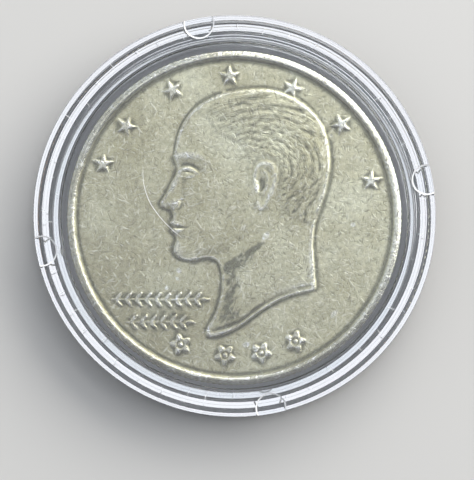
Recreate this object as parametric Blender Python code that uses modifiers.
"""Round two-piece coin capsule, closed, with the coin that it protects inside.

Three loose pieces stack along +Z. The base is a clear tray whose collar stands round the coin.
The coin lies on the base's floor, a little to one side of its roomy pocket. The lid's skirt slips over
the collar, and its window covers the coin. Both shells have a flange, with a finger groove between the
two, so that they can be pulled apart. The origin is the centre of the base's underside, and the
capsule's axis is Z.
"""

import math

import bmesh
import bpy

MM = 0.001

# The coin, a reeded dollar-size piece. COIN_SHIFT is how far it lies from the capsule's axis, along -Y.
COIN_RADIUS = 19.05 * MM
COIN_THICKNESS = 2.58 * MM
COIN_SHIFT = 0.12 * MM
RIM_WIDTH = 1.15 * MM
FIELD_DEPTH = 0.28 * MM
FIELD_SLOPE = 0.25 * MM
REED_COUNT = 180
REED_DEPTH = 0.11 * MM
COIN_CHAMFER = 0.12 * MM

# The shells. Each has a window, a rim that keeps the window off the table, and a flange.
SHELL_RADIUS = 22.75 * MM
WINDOW_THICKNESS = 1.15 * MM
RIM_HEIGHT = 0.45 * MM
WINDOW_RADIUS = 19.6 * MM
RIM_DRAFT = 0.08 * MM
EDGE_ROUND = 0.08 * MM
FLANGE_THICKNESS = WINDOW_THICKNESS + RIM_HEIGHT

# The walls, and the clearances between the three pieces.
COIN_SIDE_GAP = 0.85 * MM
COIN_FACE_GAP = 0.3 * MM
COLLAR_WALL = 0.9 * MM
SKIRT_WALL = 0.7 * MM
SLIP_GAP = 0.3 * MM
END_GAP = 0.3 * MM
END_CHAMFER = 0.1 * MM

POCKET_RADIUS = COIN_RADIUS + COIN_SIDE_GAP
COLLAR_RADIUS = POCKET_RADIUS + COLLAR_WALL
SKIRT_BORE = COLLAR_RADIUS + SLIP_GAP
SKIRT_RADIUS = SKIRT_BORE + SKIRT_WALL

# The lid's finger lip starts at LIP_RADIUS. A bead fills the inner part of the base's foot recess.
LIP_RADIUS = 22.3 * MM
FOOT_CHAMFER = 0.4 * MM
BEAD_INNER_RADIUS = 20.05 * MM
BEAD_OUTER_RADIUS = 20.7 * MM
BEAD_ROOT = 0.4 * MM
BEAD_BLEND = 0.05 * MM

FLOOR_TOP = FLANGE_THICKNESS
COIN_BOTTOM = FLOOR_TOP + COIN_FACE_GAP
COIN_TOP = COIN_BOTTOM + COIN_THICKNESS
CEILING = COIN_TOP + COIN_FACE_GAP
CAPSULE_HEIGHT = CEILING + FLANGE_THICKNESS
COLLAR_TOP = CEILING - END_GAP
SKIRT_BOTTOM = FLOOR_TOP + END_GAP

# Shallow round marks that the moulding pins leave in each rim, a quarter turn apart.
PIN_MARK_RADIUS = 1.75 * MM
PIN_MARK_PLACE = 22.15 * MM
PIN_MARK_DEPTH = 0.07 * MM
PIN_MARK_COUNT = 4
LID_MARK_TURN = math.radians(10.6)
BASE_MARK_TURN = math.radians(57)
MARK_SIDES = 40

TURN_STEPS = 96
ARC_STEPS = 3
CUT_MARGIN = 1.0 * MM
WELD = 1e-6
SHARP_ANGLE = math.radians(32)

CLEAR_POLYSTYRENE = (0.88, 0.91, 0.94, 1.0)
NICKEL_SILVER = (0.56, 0.54, 0.46, 1.0)


def clear_scene():
    for obj in list(bpy.data.objects):
        bpy.data.objects.remove(obj)


def new_collection(name):
    collection = bpy.data.collections.new(name)
    bpy.context.scene.collection.children.link(collection)
    return collection


def new_material(name, colour, roughness, metallic=0.0, transmission=0.0):
    material = bpy.data.materials.new(name)
    material.use_nodes = True
    shader = material.node_tree.nodes["Principled BSDF"]
    shader.inputs["Base Color"].default_value = colour
    shader.inputs["Roughness"].default_value = roughness
    shader.inputs["Metallic"].default_value = metallic
    shader.inputs["Transmission Weight"].default_value = transmission
    shader.inputs["IOR"].default_value = 1.59
    return material


def arc(centre_r, centre_z, radius, start_deg, end_deg):
    """Points (r, z) on a round corner, both ends included."""
    points = []
    for step in range(ARC_STEPS + 1):
        angle = math.radians(start_deg + (end_deg - start_deg) * step / ARC_STEPS)
        points.append((centre_r + radius * math.cos(angle), centre_z + radius * math.sin(angle)))
    return points


def wedge(inner, outer, root):
    """A ring-shaped wedge that points down from the height root, with 45 degree sides, from outside in."""
    half = (outer - inner) / 2
    return [(outer, root), (outer - half, root - half), (inner, root)]


def lid_profile():
    """The lid's half section, down its outer side and back to the axis inside."""
    lip_root = CEILING + (SHELL_RADIUS - LIP_RADIUS) / 2
    skirt_root = SKIRT_BOTTOM + SKIRT_WALL / 2
    return [
        (0, CAPSULE_HEIGHT - RIM_HEIGHT),
        (WINDOW_RADIUS, CAPSULE_HEIGHT - RIM_HEIGHT),
        (WINDOW_RADIUS + RIM_DRAFT, CAPSULE_HEIGHT),
        *arc(SHELL_RADIUS - EDGE_ROUND, CAPSULE_HEIGHT - EDGE_ROUND, EDGE_ROUND, 90, 0),
        *wedge(LIP_RADIUS, SHELL_RADIUS, lip_root),
        (SKIRT_RADIUS, lip_root),
        *wedge(SKIRT_BORE, SKIRT_RADIUS, skirt_root),
        (SKIRT_BORE, CEILING),
        (0, CEILING),
    ]


def base_profile():
    """The base's half section, from the floor's centre down its outer side and back to the axis below."""
    return [
        (0, FLOOR_TOP),
        (POCKET_RADIUS, FLOOR_TOP),
        (POCKET_RADIUS, COLLAR_TOP - END_CHAMFER),
        (POCKET_RADIUS + END_CHAMFER, COLLAR_TOP),
        (COLLAR_RADIUS - END_CHAMFER, COLLAR_TOP),
        (COLLAR_RADIUS, COLLAR_TOP - END_CHAMFER),
        (COLLAR_RADIUS, FLOOR_TOP),
        *arc(SHELL_RADIUS - EDGE_ROUND, FLOOR_TOP - EDGE_ROUND, EDGE_ROUND, 90, 0),
        (SHELL_RADIUS, FOOT_CHAMFER),
        (SHELL_RADIUS - FOOT_CHAMFER, 0),
        (BEAD_OUTER_RADIUS, 0),
        *wedge(BEAD_INNER_RADIUS, BEAD_OUTER_RADIUS, BEAD_ROOT),
        (BEAD_INNER_RADIUS - BEAD_BLEND, RIM_HEIGHT),
        (0, RIM_HEIGHT),
    ]


def field_cutter_profile():
    """A shallow dish that sinks the coin's field below its rim, with room above the rim to cut cleanly."""
    rim_inside = COIN_RADIUS - RIM_WIDTH
    field = rim_inside - FIELD_SLOPE
    lift = CUT_MARGIN / FIELD_DEPTH
    return [
        (0, CUT_MARGIN),
        (rim_inside + FIELD_SLOPE * lift, CUT_MARGIN),
        (field, -FIELD_DEPTH),
        (0, -FIELD_DEPTH),
    ]


def turned(name, profile, collection):
    """A solid of revolution: the profile's edges swept once round Z by a Screw modifier."""
    mesh = bpy.data.meshes.new(name)
    points = [(r, 0, z) for r, z in profile]
    mesh.from_pydata(points, [(i, i + 1) for i in range(len(points) - 1)], [])
    obj = bpy.data.objects.new(name, mesh)
    collection.objects.link(obj)
    screw = obj.modifiers.new("turn", "SCREW")
    screw.axis = "Z"
    screw.angle = math.tau
    screw.steps = TURN_STEPS
    screw.render_steps = TURN_STEPS
    screw.use_merge_vertices = True
    screw.merge_threshold = WELD
    return obj


def as_cutter(obj):
    obj.hide_render = True
    obj.display_type = "WIRE"
    return obj


def cut(obj, cutter):
    boolean = obj.modifiers.new("cut_" + cutter.name, "BOOLEAN")
    boolean.operation = "DIFFERENCE"
    boolean.object = cutter


def pin_mark_cutters(prefix, first_turn, face_z, outward, collection):
    """Round cutters that bite one mark depth into the rim face at face_z. outward is +1 or -1, along Z."""
    cutters = []
    for index in range(PIN_MARK_COUNT):
        angle = first_turn + index * math.tau / PIN_MARK_COUNT
        bpy.ops.mesh.primitive_cylinder_add(
            vertices=MARK_SIDES,
            radius=PIN_MARK_RADIUS,
            depth=PIN_MARK_DEPTH + CUT_MARGIN,
            location=(
                PIN_MARK_PLACE * math.cos(angle),
                PIN_MARK_PLACE * math.sin(angle),
                face_z + outward * (CUT_MARGIN - PIN_MARK_DEPTH) / 2,
            ),
        )
        cutter = bpy.context.object
        cutter.name = f"{prefix}_{index + 1}"
        for owner in list(cutter.users_collection):
            owner.objects.unlink(cutter)
        collection.objects.link(cutter)
        cutters.append(as_cutter(cutter))
    return cutters


def settle(obj, material):
    """Applies the modifiers, shades round surfaces smooth and corners sharp, and sets the material."""
    graph = bpy.context.evaluated_depsgraph_get()
    mesh = bpy.data.meshes.new_from_object(obj.evaluated_get(graph))
    mesh.name = obj.name
    obj.modifiers.clear()
    obj.data = mesh
    mesh.shade_smooth()
    mesh.set_sharp_from_angle(angle=SHARP_ANGLE)
    mesh.materials.clear()
    mesh.materials.append(material)


def reeded_outline():
    """The coin's outline seen along its axis: alternate crests and roots of the reeding."""
    points = []
    for index in range(2 * REED_COUNT):
        angle = math.tau * index / (2 * REED_COUNT)
        radius = COIN_RADIUS - (REED_DEPTH if index % 2 else 0)
        points.append((radius * math.cos(angle), radius * math.sin(angle)))
    return points


def make_coin(parts, cutters):
    """A reeded blank with a chamfered edge, whose two fields are sunk below its rims."""
    curve = bpy.data.curves.new("coin_outline", "CURVE")
    curve.dimensions = "2D"
    curve.fill_mode = "BOTH"
    curve.bevel_depth = COIN_CHAMFER
    curve.bevel_resolution = 0
    curve.offset = -COIN_CHAMFER
    curve.extrude = COIN_THICKNESS / 2 - COIN_CHAMFER
    spline = curve.splines.new("POLY")
    outline = reeded_outline()
    spline.points.add(len(outline) - 1)
    for point, (x, y) in zip(spline.points, outline):
        point.co = (x, y, 0, 1)
    spline.use_cyclic_u = True
    blank = bpy.data.objects.new("coin_blank", curve)
    blank.location = (0, -COIN_SHIFT, (COIN_BOTTOM + COIN_TOP) / 2)
    parts.objects.link(blank)
    bpy.context.view_layer.update()
    coin = mesh_from_curve("coin", blank, parts)
    for name, face_z, flip in (("obverse_field", COIN_TOP, 0), ("reverse_field", COIN_BOTTOM, math.pi)):
        cutter = as_cutter(turned(name, field_cutter_profile(), cutters))
        cutter.location = (0, -COIN_SHIFT, face_z)
        cutter.rotation_euler.x = flip
        cut(coin, cutter)
    return coin


def mesh_from_curve(name, curve_object, collection):
    """The curve's evaluated mesh as an object of its own, with its caps welded to its sides."""
    graph = bpy.context.evaluated_depsgraph_get()
    mesh = bpy.data.meshes.new_from_object(curve_object.evaluated_get(graph))
    mesh.name = name
    shape = bmesh.new()
    shape.from_mesh(mesh)
    bmesh.ops.remove_doubles(shape, verts=shape.verts, dist=WELD)
    bmesh.ops.recalc_face_normals(shape, faces=shape.faces)
    shape.to_mesh(mesh)
    shape.free()
    obj = bpy.data.objects.new(name, mesh)
    obj.matrix_world = curve_object.matrix_world
    collection.objects.link(obj)
    bpy.data.objects.remove(curve_object)
    return obj


def make_base(parts, cutters):
    base = turned("capsule_base", base_profile(), parts)
    for cutter in pin_mark_cutters("base_pin_mark", BASE_MARK_TURN, 0, -1, cutters):
        cut(base, cutter)
    return base


def make_lid(parts, cutters):
    lid = turned("capsule_lid", lid_profile(), parts)
    for cutter in pin_mark_cutters("lid_pin_mark", LID_MARK_TURN, CAPSULE_HEIGHT, 1, cutters):
        cut(lid, cutter)
    return lid


def main():
    clear_scene()
    parts = new_collection("coin_capsule")
    cutters = new_collection("cutters")
    clear = new_material("clear_polystyrene", CLEAR_POLYSTYRENE, 0.03, transmission=1.0)
    metal = new_material("coin_metal", NICKEL_SILVER, 0.32, metallic=1.0)
    pieces = (
        (make_base(parts, cutters), clear),
        (make_coin(parts, cutters), metal),
        (make_lid(parts, cutters), clear),
    )
    for obj, material in pieces:
        settle(obj, material)


main()
